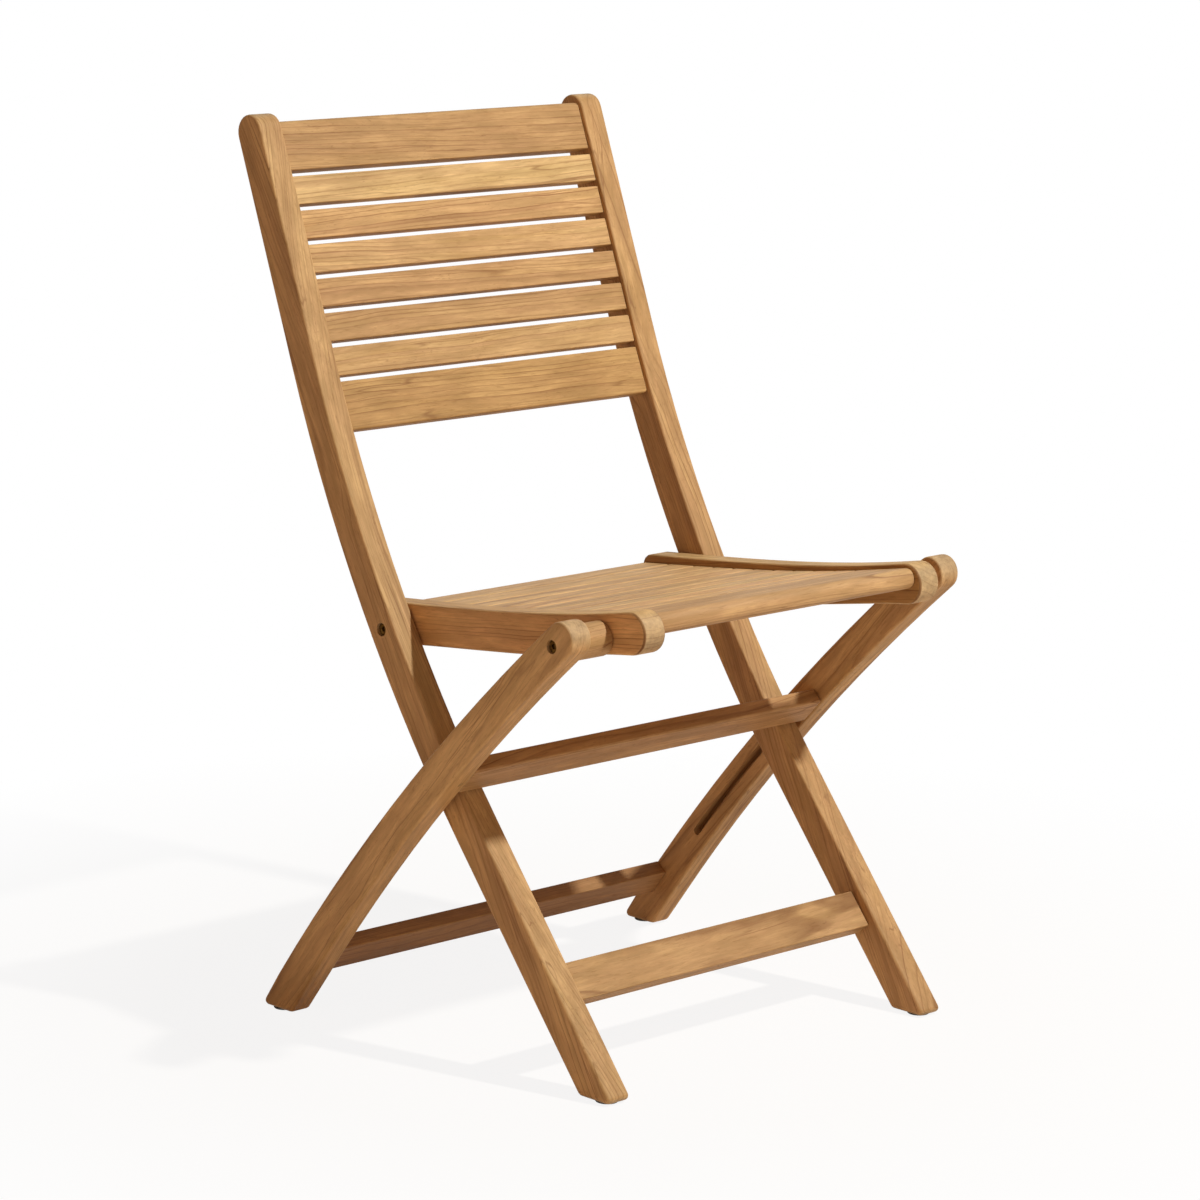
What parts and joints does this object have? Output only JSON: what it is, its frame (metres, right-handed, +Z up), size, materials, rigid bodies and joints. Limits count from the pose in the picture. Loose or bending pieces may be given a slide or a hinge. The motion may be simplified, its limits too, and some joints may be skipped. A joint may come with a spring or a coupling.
{
  "type": "folding slatted chair",
  "caption": "Folding wooden side chair with a slatted curved back, a slatted seat and crossed legs joined by stretchers, with a pin and slot that guide the fold.",
  "frame": {"origin": "on the floor, under the middle of the open chair's outer box", "axes": "+X towards the sitter's left, -Y the way the chair faces, +Z up"},
  "size_m": [0.5228, 0.5462, 0.8739],
  "materials": {
    "teak_frame": "oiled, fine straight grain",
    "teak_slats": "oiled, cathedral grain",
    "brass": "dull, slightly tarnished",
    "steel": "satin",
    "glide_plastic": "matte dark brown"
  },
  "bodies": {
    "back_frame": {"stile_left": "teak_frame", "stile_right": "teak_frame", "back_slat_1": "teak_slats", "back_slat_2": "teak_slats", "back_slat_3": "teak_slats", "back_slat_4": "teak_slats", "back_slat_5": "teak_slats", "back_slat_6": "teak_slats", "back_slat_7": "teak_slats", "back_slat_8": "teak_slats", "front_stretcher": "teak_frame", "guide_pin_left": "steel", "guide_pin_right": "steel", "rear_pivot_bolt_left": "brass", "rear_pivot_bolt_right": "brass", "seat_washer_left": "steel", "seat_washer_right": "steel", "front_glide_left": "glide_plastic", "front_glide_right": "glide_plastic"},
    "seat": {"seat_rail_left": "teak_frame", "seat_rail_right": "teak_frame", "seat_slat_1": "teak_slats", "seat_slat_2": "teak_slats", "seat_slat_3": "teak_slats", "seat_slat_4": "teak_slats", "seat_slat_5": "teak_slats", "seat_slat_6": "teak_slats", "seat_slat_7": "teak_slats", "seat_slat_8": "teak_slats", "seat_slat_9": "teak_slats", "seat_slat_10": "teak_slats", "seat_front_slat": "teak_slats", "rear_pivot_insert_left": "brass", "rear_pivot_insert_right": "brass", "front_pivot_insert_left": "brass", "front_pivot_insert_right": "brass"},
    "leg_frame": {"leg_left": "teak_frame", "leg_right": "teak_frame", "middle_stretcher": "teak_frame", "rear_stretcher": "teak_frame", "spacer_left": "teak_frame", "spacer_right": "teak_frame", "front_pivot_bolt_left": "brass", "front_pivot_bolt_right": "brass", "peg_left": "teak_frame", "peg_right": "teak_frame", "rear_glide_left": "glide_plastic", "rear_glide_right": "glide_plastic"}
  },
  "joints": [
    {"name": "seat_fold", "type": "hinge", "parent": "back_frame", "child": "seat", "pos_m": [0, 0.05609, 0.398], "axis": [-1, 0, 0], "range_deg": [0, 93]},
    {"name": "leg_fold", "type": "hinge", "parent": "seat", "child": "leg_frame", "pos_m": [0, -0.21631, 0.43029], "axis": [1, 0, 0], "range_deg": [0, 30]}
  ],
  "couplings": [
    {"joint": "leg_fold", "follows": "seat_fold", "ratio": 0.32258}
  ]
}
